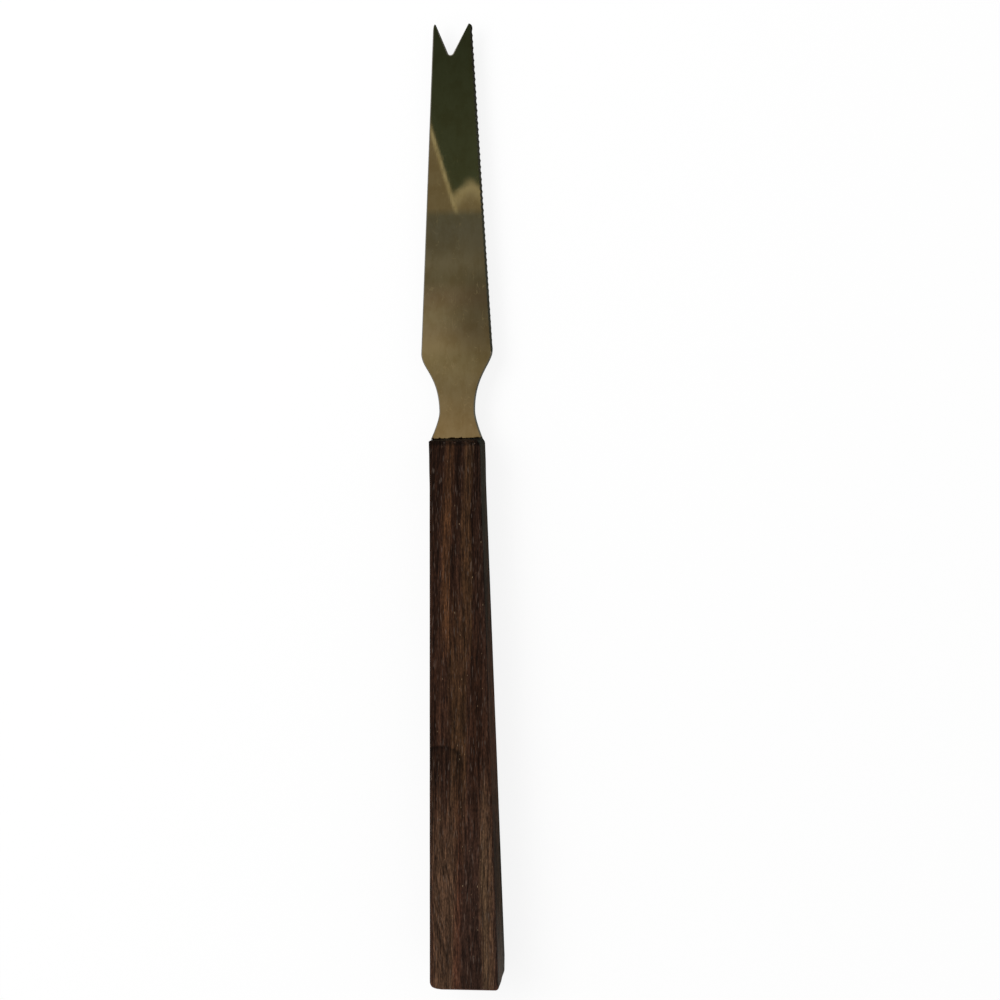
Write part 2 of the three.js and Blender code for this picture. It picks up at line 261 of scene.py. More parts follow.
def makeRosewood():
    look = rosewoodLook
    material, add = newMaterial("rosewood")
    width, thickness = handleSizes["bladeEnd"]
    # coordinates in millimetres: across from the spine-side front edge, along from the blade end, and depth
    corner = Vector((-width / 2, 0, thickness / 2))
    buttCorner = Vector((-handleSizes["butt"][0] / 2, -handleSizes["length"], handleSizes["butt"][1] / 2))
    along = (buttCorner - corner).normalized()
    depth = Vector((1, 0, 0)).cross(along).normalized()
    frameTurn = knifeTurn.to_3x3() @ Matrix((along.cross(depth), along, depth)).transposed()
    local = add("ShaderNodeMapping", {
        "Vector": add("ShaderNodeTexCoord").outputs["Object"], "Location": knifePlace @ corner,
        "Rotation": frameTurn.to_euler(), "Scale": (mm, mm, mm),
    }, vector_type="TEXTURE")
    wander = add("ShaderNodeCombineXYZ", {0: grainGain(add, local, *look["wander"])})
    local = add("ShaderNodeVectorMath", {0: local, 1: wander}, operation="ADD")
    place = add("ShaderNodeSeparateXYZ", {0: local}).outputs

    # growth layers, drifting slowly and ragged along the fibres
    drift = grainGain(add, local, *look["drift"])
    rag = grainGain(add, local, *look["rag"])
    over, straight = look["lean"]
    lean = add("ShaderNodeMapRange", {0: place["Y"], 1: 0.0, 2: straight, 3: over, 4: 0.0})
    layer = add("ShaderNodeMath", {
        0: place["Z"], 1: look["layerTilt"], 2: place["X"],
    }, operation="MULTIPLY_ADD")
    for more in (drift, rag, lean):
        layer = add("ShaderNodeMath", {0: layer, 1: more}, operation="ADD")
    layer = add("ShaderNodeMath", {0: layer, 1: look["span"]}, operation="DIVIDE")
    ragged = add("ShaderNodeMath", {0: rag, 1: look["changeRag"], 2: place["Y"]}, operation="MULTIPLY_ADD")
    colour = None
    for change, layers in look["stretches"]:
        stops = [(where / look["span"], look[tone]) for where, tone in layers]
        stretch = add("ShaderNodeValToRGB", {0: layer}, stops=stops).outputs["Color"]
        if change:
            share = add("ShaderNodeMapRange", {0: ragged, 1: change[0], 2: change[1]})
            stretch = add("ShaderNodeMix", {0: share, 6: colour, 7: stretch}, data_type="RGBA").outputs[2]
        colour = stretch

    # where the grain crosses, the streaks run on a slope
    first, last, fade = look["slantAlong"]
    inner, outer = (where / look["span"] for where in look["slantAcross"])
    crossed = add("ShaderNodeMapRange", {
        0: place["Y"], 1: first, 2: first + fade,
    }, interpolation_type="SMOOTHSTEP")
    fall = add("ShaderNodeMapRange", {0: place["Y"], 1: last, 2: last + fade, 3: 1.0, 4: 0.0})
    side = add("ShaderNodeMapRange", {0: layer, 1: inner, 2: outer, 3: 1.0, 4: 0.0})
    for more in (fall, side):
        crossed = add("ShaderNodeMath", {0: crossed, 1: more}, operation="MULTIPLY")
    sheared = add("ShaderNodeMath", {
        0: place["Y"], 1: -look["slope"], 2: place["X"],
    }, operation="MULTIPLY_ADD")
    sheared = add("ShaderNodeCombineXYZ", {0: sheared, 1: place["Y"], 2: place["Z"]})
    slanted = grainGain(add, sheared, *look["crossing"])
    slanted = add("ShaderNodeMix", {0: crossed, 2: 1.0, 3: slanted})

    # the healed branch: a dark rounded line across the grain, and darker wood fading below it
    across, middle, reach, rising = look["arc"]
    above = add("ShaderNodeMath", {0: place["Y"], 1: middle}, operation="SUBTRACT")
    above = add("ShaderNodeMath", {0: above, 1: 0.0}, operation="MINIMUM")
    above = add("ShaderNodeMath", {0: above, 1: rising}, operation="DIVIDE")
    sideways = add("ShaderNodeMath", {
        0: layer, 1: look["span"] / reach, 2: -across / reach,
    }, operation="MULTIPLY_ADD")
    away = add("ShaderNodeCombineXYZ", {0: sideways, 1: above})
    away = add("ShaderNodeVectorMath", {0: away}, operation="LENGTH").outputs["Value"]
    inner, outer = look["arcBorder"]
    shade = add("ShaderNodeMapRange", {0: away, 1: inner, 2: outer, 3: 1.0, 4: 0.0})
    full, gone, deep = look["arcFade"]
    fading = add("ShaderNodeMapRange", {0: place["Y"], 1: full, 2: gone, 3: deep, 4: 0.0})
    inner, outer, darker = look["arcRing"]
    ring = add("ShaderNodeMapRange", {
        0: away, 1: inner, 2: outer, 3: 1.0, 4: darker,
    }, interpolation_type="SMOOTHSTEP")
    for more in (fading, ring):
        shade = add("ShaderNodeMath", {0: shade, 1: more}, operation="MULTIPLY")
    shade = add("ShaderNodeMath", {0: 1.0, 1: shade}, operation="SUBTRACT")

    # all that lightens and darkens the layers
    gain = grainGain(add, local, *look["streaks"])
    fibres = grainGain(add, local, *look["fibres"])
    threads = grainGain(add, local, *look["threads"])
    gains = [fibres, threads, grainGain(add, local, *look["grit"]), slanted, shade]
    # painted shade: the blade end is darkened, and its rim more deeply
    for full, gone, dark in (look["shadedEnd"], look["rim"]):
        gains.append(add("ShaderNodeMapRange", {0: place["Y"], 1: full, 2: gone, 3: dark, 4: 1.0}))
    for more in gains:
        gain = add("ShaderNodeMath", {0: gain, 1: more}, operation="MULTIPLY")
    gained = add("ShaderNodeMix", {0: 1.0, 6: colour, 7: gain}, data_type="RGBA", blend_type="MULTIPLY")
    colour = gained.outputs[2]

    # bare wood at the butt's rim, open pores, greyish glints on single fibres, and pale dust in a few pores
    begin, full, bared = look["worn"]
    eased = add("ShaderNodeAttribute", attribute_name="eased").outputs["Fac"]
    worn = add("ShaderNodeMapRange", {0: eased, 1: 0.05, 2: 0.25, 3: 0.0, 4: bared})
    atButt = add("ShaderNodeMapRange", {0: place["Y"], 1: begin, 2: full})
    worn = add("ShaderNodeMath", {0: worn, 1: atButt}, operation="MULTIPLY")
    pores = grainGain(add, local, *look["pores"])
    shifted = add("ShaderNodeVectorMath", {0: local, 1: (31.0, 57.0, 13.0)}, operation="ADD")
    glints = grainGain(add, shifted, *look["glints"])
    dust = grainGain(add, local, *look["dust"])
    for share, tone in ((worn, "bare"), (pores, "pore"), (glints, "glint"), (dust, "fleck")):
        laid = add("ShaderNodeMix", {0: share, 6: colour, 7: linear(look[tone])}, data_type="RGBA")
        colour = laid.outputs[2]

    low, high = look["fibres"][3]
    valley, ridge = look["roughness"]
    roughness = add("ShaderNodeMapRange", {0: fibres, 1: low, 2: high, 3: valley, 4: ridge})
    height = add("ShaderNodeMath", {0: threads, 1: pores}, operation="SUBTRACT")
    bump = add("ShaderNodeBump", {"Strength": 0.4, "Distance": look["relief"] * mm, "Height": height})
    shader = add("ShaderNodeBsdfPrincipled", {
        "Base Color": colour, "Roughness": roughness, "Normal": bump, "Specular IOR Level": 0.08,
    })
    add("ShaderNodeOutputMaterial", {"Surface": shader})
    return material


# Stamped stainless, polished and long used: a clear mirror under fine lengthwise scratches and smudges
stainlessLook = {
    "metal": "#c4beb3",
    "film": "#b9b09f",  # thin brownish film where fingers have been
    # the scratches are real marks; their pale colour is a painted sheen of the light they scatter
    "scratchSheen": "#f2ead8",
    "footDark": "#34281c",
    "mirror": 0.02,  # roughness where it is clean
    "smudged": 0.035,
    "ground": 0.28,  # roughness of the ground edge
    # noises: cycles in a millimetre across and along the blade, detail, gains and the noise that they span
    "smudge": (0.22, 0.2, 4.0, (0.0, 1.0), (0.45, 0.66)),  # a few millimetres wide
    "smear": (0.7, 0.25, 3.0, (0.0, 1.0), (0.48, 0.65)),  # wiped along the blade
    "lines": (5.0, 0.1, 3.0, (0.0, 1.0)),  # from polishing, drawn 0.15 mm wide so that they show
    "patches": (0.55, 0.35, 1.0, (0.0, 1.0), (0.54, 0.6)),  # where scratches gather
    "footDarkEdge": (1.1, 0.6, 3.0, (-0.3, 0.3)),
    "footDarkReach": (0.1, 0.3),  # millimetres above the handle where it is full and gone
    "scratchBends": (1.0, 0.45, 1.0),  # cycles in a millimetre of the noise whose level lines they follow
    "scratchWidth": (0.006, 0.022),  # as a part of that noise, where a scratch is full and gone
    "scratchFade": (45.0, 75.0, 0.3),  # they get fewer along the blade: from here to here, to this share
    "scratchSheenShare": 0.3,
    "relief": 0.004,  # millimetres
}


def makeStainless():
    look = stainlessLook
    material, add = newMaterial("polishedStainless")
    local = add("ShaderNodeMapping", {
        "Vector": add("ShaderNodeTexCoord").outputs["Object"], "Location": knifeOrigin,
        "Rotation": knifeTurn.to_euler(), "Scale": (mm, mm, mm),
    }, vector_type="TEXTURE")
    place = add("ShaderNodeSeparateXYZ", {0: local}).outputs
    ground = add("ShaderNodeAttribute", attribute_name="ground").outputs["Fac"]
    smudge = grainGain(add, local, *look["smudge"])
    smear = grainGain(add, local, *look["smear"])
    wiped = add("ShaderNodeMath", {0: smear, 1: 0.5, 2: smudge}, operation="MULTIPLY_ADD")
    lines = grainGain(add, local, *look["lines"])

    # short scratches: thin level lines of a noise, kept only in patches and mostly near the heel
    scored = add("ShaderNodeVectorMath", {0: local, 1: look["scratchBends"]}, operation="MULTIPLY")
    scored = add("ShaderNodeTexNoise", {"Vector": scored, "Scale": 1.0, "Detail": 1.0})
    scored = add("ShaderNodeMath", {0: scored, 1: 0.5}, operation="SUBTRACT")
    scored = add("ShaderNodeMath", {0: scored}, operation="ABSOLUTE")
    full, gone = look["scratchWidth"]
    scored = add("ShaderNodeMapRange", {0: scored, 1: full, 2: gone, 3: 1.0, 4: 0.0})
    begin, end, left = look["scratchFade"]
    nearHeel = add("ShaderNodeMapRange", {0: place["Y"], 1: begin, 2: end, 3: 1.0, 4: left})
    patches = grainGain(add, local, *look["patches"])
    patches = add("ShaderNodeMath", {0: patches, 1: nearHeel}, operation="MULTIPLY")
    scratches = add("ShaderNodeMath", {0: scored, 1: patches}, operation="MULTIPLY")
    # the scratches are painted pale: a painted sheen, not the steel's own colour
    scratchSheenShare = add("ShaderNodeMath", {0: scratches, 1: look["scratchSheenShare"]}, operation="MULTIPLY")

    # the blade is darker where it meets the handle's askew end, and on the tang
    skew = handleSizes["endSkew"] / handleSizes["bladeEnd"][0]
    fromFoot = add("ShaderNodeVectorMath", {0: local, 1: (-skew, 1.0, 0.0)}, operation="DOT_PRODUCT")
    edge = grainGain(add, local, *look["footDarkEdge"])
    fromFoot = add("ShaderNodeMath", {0: fromFoot.outputs["Value"], 1: edge}, operation="ADD")
    full, gone = look["footDarkReach"]
    footDark = add("ShaderNodeMapRange", {0: fromFoot, 1: full, 2: gone, 3: 1.0, 4: 0.0})

    colour = linear(look["metal"])
    for share, tone in ((wiped, "film"), (scratchSheenShare, "scratchSheen"), (footDark, "footDark")):
        laid = add("ShaderNodeMix", {0: share, 6: colour, 7: linear(look[tone])}, data_type="RGBA")
        colour = laid.outputs[2]
    roughness = add("ShaderNodeMapRange", {0: wiped, 1: 0.0, 2: 1.2, 3: look["mirror"], 4: look["smudged"]})
    for mark, rougher in ((lines, 0.008), (scratches, 0.1)):
        roughness = add("ShaderNodeMath", {0: mark, 1: rougher, 2: roughness}, operation="MULTIPLY_ADD")
    roughness = add("ShaderNodeMix", {0: ground, 2: roughness, 3: look["ground"]})
    height = add("ShaderNodeMath", {0: lines, 1: scratches}, operation="SUBTRACT")
    bump = add("ShaderNodeBump", {"Strength": 0.04, "Distance": look["relief"] * mm, "Height": height})
    shader = add("ShaderNodeBsdfPrincipled", {
        "Base Color": colour, "Metallic": 1.0, "Roughness": roughness, "Normal": bump,
    })
    add("ShaderNodeOutputMaterial", {"Surface": shader})
    return material


# Set epoxy: dull dark amber with trapped bubbles
adhesiveLook = {
    "dark": "#241910",
    "amber": "#4e3d26",
    "bubbles": 700.0,  # in a metre, so about 1.4 mm apart
    "roughness": (0.45, 0.7),
    "relief": 0.1,  # millimetres
}


def makeAdhesive():
    look = adhesiveLook
    material, add = newMaterial("setEpoxy")
    coords = add("ShaderNodeTexCoord").outputs["Object"]
    cloud = add("ShaderNodeTexNoise", {"Vector": coords, "Scale": look["bubbles"], "Detail": 3.0})
    colour = add("ShaderNodeValToRGB", {0: cloud}, stops=[(0.3, look["dark"]), (0.7, look["amber"])])
    low, high = look["roughness"]
    roughness = add("ShaderNodeMapRange", {0: cloud, 3: low, 4: high})
    bump = add("ShaderNodeBump", {"Strength": 0.3, "Distance": look["relief"] * mm, "Height": cloud})
    shader = add("ShaderNodeBsdfPrincipled", {"Base Color": colour, "Roughness": roughness, "Normal": bump})
    add("ShaderNodeOutputMaterial", {"Surface": shader})
    return material


# The handle is a rounded box that grows towards its butt, with a stadium-shaped mortise for the tang
def handleTree(sizes):
    tree, add, given = newTree("taperedHandle", sizes)
    across, along, through = handleSizes["grid"]
    box = add("GeometryNodeMeshCube", {
        "Size": (2.0, 2.0, 2.0), "Vertices X": across, "Vertices Y": along, "Vertices Z": through,
    })
    place = add("GeometryNodeInputPosition")
    # points crowd towards the edges, where the rounds are
    size = add("ShaderNodeVectorMath", {0: place}, operation="ABSOLUTE")
    pull = add("ShaderNodeVectorMath", {0: (2.0, 2.0, 2.0), 1: size}, operation="SUBTRACT")
    spread = add("ShaderNodeVectorMath", {0: place, 1: pull}, operation="MULTIPLY")
    part = add("ShaderNodeSeparateXYZ", {0: spread}).outputs
    tapered = {}
    for label in ("Width", "Thickness"):
        tapered[label] = add("ShaderNodeMapRange", {
            0: part["Y"], 1: -1.0, 2: 1.0, 3: given["Butt " + label], 4: given["Blade End " + label],
        })
    fromButt = add("ShaderNodeMapRange", {0: part["Y"], 1: -1.0, 2: 1.0, 3: 0.0, 4: given["Length"]})
    fromBlade = add("ShaderNodeMath", {0: given["Length"], 1: fromButt}, operation="SUBTRACT")
    swell = add("ShaderNodeMapRange", {
        0: fromBlade, 1: given["Swell Start"], 2: given["Swell End"], 3: given["End Swell"], 4: 0.0,
    }, interpolation_type="SMOOTHSTEP")
    width = add("ShaderNodeMath", {0: swell, 1: 2.0, 2: tapered["Width"]}, operation="MULTIPLY_ADD")
    full = add("ShaderNodeCombineXYZ", {0: width, 1: given["Length"], 2: tapered["Thickness"]})
    half = add("ShaderNodeVectorMath", {0: full, 3: 0.5}, operation="SCALE")
    # the butt's spine-side corner draws in along a quarter circle
    corner = given["Butt Corner"]
    left = add("ShaderNodeMath", {0: corner, 1: fromButt}, operation="SUBTRACT")
    left = add("ShaderNodeMath", {0: left, 1: 0.0}, operation="MAXIMUM")
    square = add("ShaderNodeMath", {0: left, 1: left}, operation="MULTIPLY")
    whole = add("ShaderNodeMath", {0: corner, 1: corner}, operation="MULTIPLY")
    rest = add("ShaderNodeMath", {0: whole, 1: square}, operation="SUBTRACT")
    root = add("ShaderNodeMath", {0: rest}, operation="SQRT")
    inset = add("ShaderNodeMath", {0: corner, 1: root}, operation="SUBTRACT")
    spine = add("ShaderNodeMath", {0: part["X"], 1: 0.0}, operation="LESS_THAN")
    drawn = add("ShaderNodeMath", {0: inset, 1: spine}, operation="MULTIPLY")
    drawn = add("ShaderNodeCombineXYZ", {0: drawn})
    half = add("ShaderNodeVectorMath", {0: half, 1: drawn}, operation="SUBTRACT")
    # radii differ at the blade end, and at the butt's back edge
    nearBlade = add("ShaderNodeMapRange", {0: fromBlade, 1: 0.0, 2: given["Blade End Fade"], 3: 1.0, 4: 0.0})
    nearButt = add("ShaderNodeMapRange", {0: fromButt, 1: 0.0, 2: given["Butt Fade"], 3: 1.0, 4: 0.0})
    toEdge = add("ShaderNodeMapRange", {0: part["X"], 1: -1.0, 2: 1.0})
    toBack = add("ShaderNodeMapRange", {0: part["Z"], 1: -0.2, 2: 0.2, 3: 1.0, 4: 0.0})
    toBack = add("ShaderNodeMath", {0: toBack, 1: nearButt}, operation="MULTIPLY")
    endRadius = add("ShaderNodeMix", {
        0: toEdge, 4: given["Spine End Radius"], 5: given["Edge End Radius"],
    }, data_type="VECTOR").outputs[1]
    radius = given["Edge Radius"]
    for share, other in ((nearBlade, endRadius), (toBack, given["Butt Back Radius"])):
        radius = add("ShaderNodeMix", {0: share, 4: radius, 5: other}, data_type="VECTOR").outputs[1]
    # rounded box: hold points inside the core, then set them out by the radius
    sharp = add("ShaderNodeVectorMath", {0: spread, 1: half}, operation="MULTIPLY")
    core = add("ShaderNodeVectorMath", {0: half, 1: radius}, operation="SUBTRACT")
    minus = add("ShaderNodeVectorMath", {0: core, 3: -1.0}, operation="SCALE")
    held = add("ShaderNodeVectorMath", {0: sharp, 1: core}, operation="MINIMUM")
    held = add("ShaderNodeVectorMath", {0: held, 1: minus}, operation="MAXIMUM")
    out = add("ShaderNodeVectorMath", {0: sharp, 1: held}, operation="SUBTRACT")
    out = add("ShaderNodeVectorMath", {0: out, 1: radius}, operation="DIVIDE")
    out = add("ShaderNodeVectorMath", {0: out}, operation="NORMALIZE")
    # hand sanding takes a little off unevenly
    cloud = add("ShaderNodeTexNoise", {"Vector": sharp, "Scale": given["Sanding Scale"], "Detail": 2.0})
    sanded = add("ShaderNodeMath", {0: cloud, 1: given["Sanding"]}, operation="MULTIPLY")
    sanded = add("ShaderNodeMath", {0: 1.0, 1: sanded}, operation="SUBTRACT")
    out = add("ShaderNodeVectorMath", {0: out, 3: sanded}, operation="SCALE")
    out = add("ShaderNodeVectorMath", {0: out, 1: radius, 2: held}, operation="MULTIPLY_ADD")
    lost = add("ShaderNodeVectorMath", {0: sharp, 1: out}, operation="DISTANCE").outputs["Value"]
    # from the middle of the box to the blade end, which is askew
    toEnd = add("ShaderNodeMath", {0: given["Length"], 1: -0.5}, operation="MULTIPLY")
    skew = add("ShaderNodeMapRange", {0: part["X"], 1: -1.0, 2: 1.0, 3: given["End Skew"], 4: 0.0})
    skew = add("ShaderNodeMath", {0: skew, 1: nearBlade}, operation="MULTIPLY")
    toEnd = add("ShaderNodeMath", {0: toEnd, 1: skew}, operation="SUBTRACT")
    toEnd = add("ShaderNodeCombineXYZ", {1: toEnd})
    bar = add("GeometryNodeStoreNamedAttribute", {"Geometry": box, "Name": "eased", "Value": lost})
    bar = add("GeometryNodeSetPosition", {"Geometry": bar, "Position": out, "Offset": toEnd})

    # mortise: a cylinder along the handle, parted into a stadium
    slotRadius = add("ShaderNodeMath", {0: given["Mortise Thickness"], 1: 0.5}, operation="MULTIPLY")
    slotLength = add("ShaderNodeMath", {0: given["Mortise Depth"], 1: 2.0}, operation="MULTIPLY")
    slot = add("GeometryNodeMeshCylinder", {"Vertices": 40, "Radius": slotRadius, "Depth": slotLength})
    slot = add("GeometryNodeTransform", {"Geometry": slot, "Rotation": (math.pi / 2, 0.0, 0.0)})
    side = add("ShaderNodeSeparateXYZ", {0: place})
    side = add("ShaderNodeMath", {0: side.outputs["X"]}, operation="SIGN")
    apart = add("ShaderNodeMath", {
        0: given["Mortise Width"], 1: given["Mortise Thickness"],
    }, operation="SUBTRACT")
    for more in (0.5, side):
        apart = add("ShaderNodeMath", {0: apart, 1: more}, operation="MULTIPLY")
    apart = add("ShaderNodeCombineXYZ", {0: apart})
    slot = add("GeometryNodeSetPosition", {"Geometry": slot, "Offset": apart})
    bar = add("GeometryNodeMeshBoolean", {
        "Mesh 1": bar, "Mesh 2": slot,
    }, operation="DIFFERENCE", solver="MANIFOLD")
    bar = add("GeometryNodeRealizeInstances", {0: bar})
    bar = add("GeometryNodeSetMaterial", {"Geometry": bar, "Material": given["Material"]})
    add("NodeGroupOutput", {0: bar})
    return tree


def makeHandle(material):
    values = {"Length": handleSizes["length"], "Material": material}
    # one named input for each single size
    for key, labels in (
        ("bladeEnd", ("Blade End Width", "Blade End Thickness")),
        ("butt", ("Butt Width", "Butt Thickness")),
        ("endFade", ("Blade End Fade", "Butt Fade")),
        ("endSwell", ("End Swell", "Swell Start", "Swell End")),
        ("sanding", ("Sanding", "Sanding Scale")),
        ("mortise", ("Mortise Width", "Mortise Thickness", "Mortise Depth")),
    ):
        values.update(zip(labels, handleSizes[key]))
    values["Edge Radius"] = Vector(handleSizes["edgeRadius"])
    values["Spine End Radius"] = Vector(handleSizes["bladeEndRadius"][0])
    values["Edge End Radius"] = Vector(handleSizes["bladeEndRadius"][1])
    values["Butt Back Radius"] = Vector(handleSizes["buttBackRadius"])
    values["Butt Corner"] = handleSizes["buttCorner"]
    values["End Skew"] = handleSizes["endSkew"]
    mesh = runTree(bpy.data.meshes.new("handle"), handleTree(values), values)
    return placePiece("rosewoodHandle", mesh, material, "handle", 50)


# Points along a curve pulled by its control points
def bend(controls, steps):
    places = []
    for i in range(steps + 1):
        row = list(controls)
        while len(row) > 1:
            row = [a.lerp(b, i / steps) for a, b in zip(row, row[1:])]
        places.append(row[0])
    return places


# A point of the foot, just above the handle's askew end
def footPoint(across):
    lean = handleSizes["endSkew"] * (0.5 - across / handleSizes["bladeEnd"][0])
    return Vector((across, bladeSizes["seat"] - lean))


# One side of the blade from the flare's foot to the heel; side 0 is the spine and 1 the edge
def waistLine(side):
    sizes = bladeSizes
    flareSteps, waistSteps = sizes["curveSteps"][:2]
    neck = Vector(sizes["neck"][side])
    heel = Vector(sizes["heel"][side])
    turn = neck - Vector((0, sizes["flareTurn"]))
    flare = bend([footPoint(sizes["foot"][side]), turn, neck], flareSteps)
    up = Vector((0, sizes["reach"][0]))
    down = Vector((0, sizes["reach"][1]))
    return flare + bend([neck, neck + up, heel - down, heel], waistSteps)[1:]


def outerPoint(side, height):
    heel = Vector(bladeSizes["heel"][side])
    tipPoint = Vector((bladeSizes["tip"][side], bladeSizes["length"]))
    return heel.lerp(tipPoint, (height - heel.y) / (tipPoint.y - heel.y))


def tineLine(side):
    top = outerPoint(side, bladeSizes["length"])
    start = outerPoint(side, bladeSizes["length"] - bladeSizes["tineLead"][side])
    inner = top - Vector((math.copysign(bladeSizes["tineTop"][side], top.x), 0))
    return bend([start, top, inner], bladeSizes["curveSteps"][2])


# The round-bottomed notch, between the points where its straight sides touch the round
def notchLine(fromPoint, toPoint):
    middle, deep, radius = bladeSizes["notch"]
    steps = bladeSizes["curveSteps"][3]
    centre = Vector((middle, bladeSizes["length"] - deep + radius))
    angles = []
    for point, side in ((fromPoint, -1), (toPoint, 1)):
        away = point - centre
        swing = math.acos(radius / away.length)
        angles.append((math.atan2(away.y, away.x) - side * swing) % math.tau)
    turns = [angles[0] + (angles[1] - angles[0]) * i / steps for i in range(steps + 1)]
    return [centre + Vector((math.cos(a), math.sin(a))) * radius for a in turns]


# The toothed part of the edge: where it starts and ends, and its count of teeth
def toothedEdge():
    start = outerPoint(1, bladeSizes["length"] - bladeSizes["tineLead"][1])
    end = outerPoint(1, bladeSizes["heel"][1][1] + bladeSizes["heelPlain"])
    return start, end, int((end - start).length / bladeSizes["toothPitch"])


# The whole outline: each point with its share of ground edge, its rounding and its place in the row of teeth
def bladeOutline():
    sizes = bladeSizes
    spineTine = tineLine(0)
    edgeTine = tineLine(1)[::-1]
    heel = Vector(sizes["heel"][1])
    tangLength, tangWidth, chamfer = sizes["tang"]
    half = tangWidth / 2
    tang = [
        footPoint(half), (half, -tangLength + chamfer), (half - chamfer, -tangLength),
        (-half + chamfer, -tangLength), (-half, -tangLength + chamfer), footPoint(-half),
    ]
    ease, tineEase = sizes["ease"]
    last = len(spineTine) - 1
    outline = [(p, 0.0, ease, 0.0) for p in waistLine(0)]
    outline += [(p, 0.0, ease + (tineEase - ease) * i / last, 0.0) for i, p in enumerate(spineTine)]
    outline += [(p, 0.0, ease, 0.0) for p in notchLine(spineTine[-1], edgeTine[0])]
    outline += [(p, (i / last) ** 2, tineEase, 0.0) for i, p in enumerate(edgeTine)]
    start, end, teeth = toothedEdge()
    steps = sizes["toothSteps"]
    points = teeth * steps
    outline += [(start.lerp(end, i / points), 1.0, ease, i / steps) for i in range(1, points + 1)]
    for p in waistLine(1)[::-1]:
        outline.append((p, max(0.0, 1.0 - (heel.y - p.y) / sizes["bevelEnd"]), ease, 0.0))
    outline += [(Vector(p), 0.0, ease, 0.0) for p in tang]
    return outline


# Rings from the front face over the rim to the back face, eased or ground as the outline says
def bladeMesh():
    sizes = bladeSizes
    outline = bladeOutline()
    count = len(outline)
    inward = []
    for i in range(count):
        before = (outline[i][0] - outline[i - 1][0]).normalized()
        after = (outline[(i + 1) % count][0] - outline[i][0]).normalized()
        inward.append(Vector((before.y + after.y, -before.x - after.x)) / (1 + before.dot(after)))
    steps = sizes["easeSteps"]
    half = sizes["thickness"] / 2
    mesh = bmesh.new()
    toothLayer = mesh.verts.layers.float.new("tooth")
    groundLayer = mesh.faces.layers.float.new("ground")
    rings = []
    for side, k in [(1, k) for k in range(steps, -1, -1)] + [(-1, k) for k in range(steps + 1)]:
        turn = k / steps * math.pi / 2
        groundIn = sizes["bevel"] * k / steps
        groundUp = sizes["land"] / 2 + (half - sizes["land"] / 2) * k / steps
        ring = []
        for (point, ground, ease, tooth), normal in zip(outline, inward):
            easedIn = ease * (1 - math.cos(turn))
            easedUp = half - ease * (1 - math.sin(turn))
            place = point + normal * (easedIn + (groundIn - easedIn) * ground)
            vert = mesh.verts.new((place.x, place.y, side * (easedUp + (groundUp - easedUp) * ground)))
            vert[toothLayer] = tooth
            ring.append(vert)
        rings.append(ring)
    for ring, following in zip(rings, rings[1:]):
        for i in range(count):
            j = (i + 1) % count
            face = mesh.faces.new((ring[i], following[i], following[j], ring[j]))
            face.smooth = True
            face[groundLayer] = (outline[i][1] + outline[j][1]) / 2
    mesh.faces.new(rings[0])
    mesh.faces.new(rings[-1][::-1])
    bmesh.ops.recalc_face_normals(mesh, faces=mesh.faces)
    result = bpy.data.meshes.new("blade")
    mesh.to_mesh(result)
    mesh.free()
    return result


# Hollows the same flute for every tooth, each ground a little differently, and drills the tang
def serrationTree(sizes):
    tree, add, given = newTree("serratedEdge", sizes)
    tooth = add("GeometryNodeInputNamedAttribute", {"Name": "tooth"})
    number = add("ShaderNodeMath", {0: tooth}, operation="CEIL")
    within = add("ShaderNodeMath", {0: number, 1: tooth}, operation="SUBTRACT")
    offMiddle = add("ShaderNodeMath", {0: within, 1: 2.0, 2: -1.0}, operation="MULTIPLY_ADD")
    offMiddle = add("ShaderNodeMath", {0: offMiddle, 1: given["Flute Share"]}, operation="DIVIDE")
    square = add("ShaderNodeMath", {0: offMiddle, 1: offMiddle}, operation="MULTIPLY")
    hollow = add("ShaderNodeMath", {0: 1.0, 1: square}, operation="SUBTRACT")
    hollow = add("ShaderNodeMath", {0: hollow, 1: 0.0}, operation="MAXIMUM")
    uneven = add("FunctionNodeRandomValue", {
        2: given["Least Share"], 3: 1.0, "ID": number, "Seed": given["Seed"],
    }, data_type="FLOAT").outputs[1]
    depth = add("ShaderNodeMapRange", {
        0: number, 1: given["First Worn"], 2: given["Teeth"], 3: given["Depth"], 4: given["Worn Depth"],
    })
    for more in (uneven, depth):
        hollow = add("ShaderNodeMath", {0: hollow, 1: more}, operation="MULTIPLY")
    shift = add("ShaderNodeVectorMath", {0: given["Inward"], 3: hollow}, operation="SCALE")
    blade = add("GeometryNodeSetPosition", {
        "Geometry": given["Geometry"], "Selection": tooth, "Offset": shift,
    })
    blade = add("GeometryNodeTriangulate", {"Mesh": blade})
    drill = add("GeometryNodeMeshCylinder", {"Vertices": 32, "Radius": given["Hole Radius"], "Depth": 8.0})
    holes = add("GeometryNodeMeshLine", {
        "Count": given["Holes"], 2: given["First Hole"], 3: given["Hole Step"],
    })
    holes = add("GeometryNodeInstanceOnPoints", {"Points": holes, "Instance": drill})
    blade = add("GeometryNodeMeshBoolean", {
        "Mesh 1": blade, "Mesh 2": holes,
    }, operation="DIFFERENCE", solver="MANIFOLD")
    blade = add("GeometryNodeRealizeInstances", {0: blade})
    blade = add("GeometryNodeSetMaterial", {"Geometry": blade, "Material": given["Material"]})
    add("NodeGroupOutput", {0: blade})
    return tree


